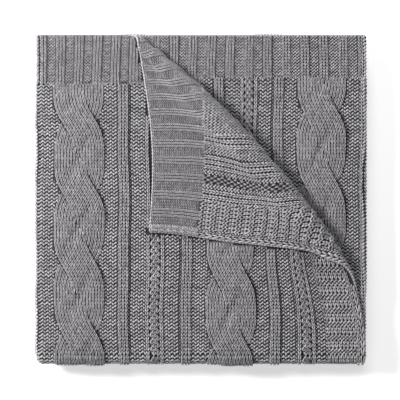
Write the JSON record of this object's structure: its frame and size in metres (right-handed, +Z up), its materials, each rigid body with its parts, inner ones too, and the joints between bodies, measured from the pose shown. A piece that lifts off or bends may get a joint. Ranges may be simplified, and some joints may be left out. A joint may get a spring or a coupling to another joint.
{
  "type": "folded cable knit throw",
  "caption": "Cable knit throw folded into a flat square stack, rope cables and ribs between purl panels, ribbed end band, one top corner turned down to show the wrong side.",
  "frame": {"origin": "under the middle of the folded throw, on the surface that it lies on", "axes": "+X from the left fold to the right fold, +Y from the front fold to the throw's end band, +Z up through the stack"},
  "size_m": [0.4166, 0.4196, 0.0843],
  "materials": {
    "yarn": "soft heathered mid-grey yarn, matt with a faint sheen"
  },
  "bodies": {
    "root": {"throw": "yarn"}
  },
  "joints": []
}
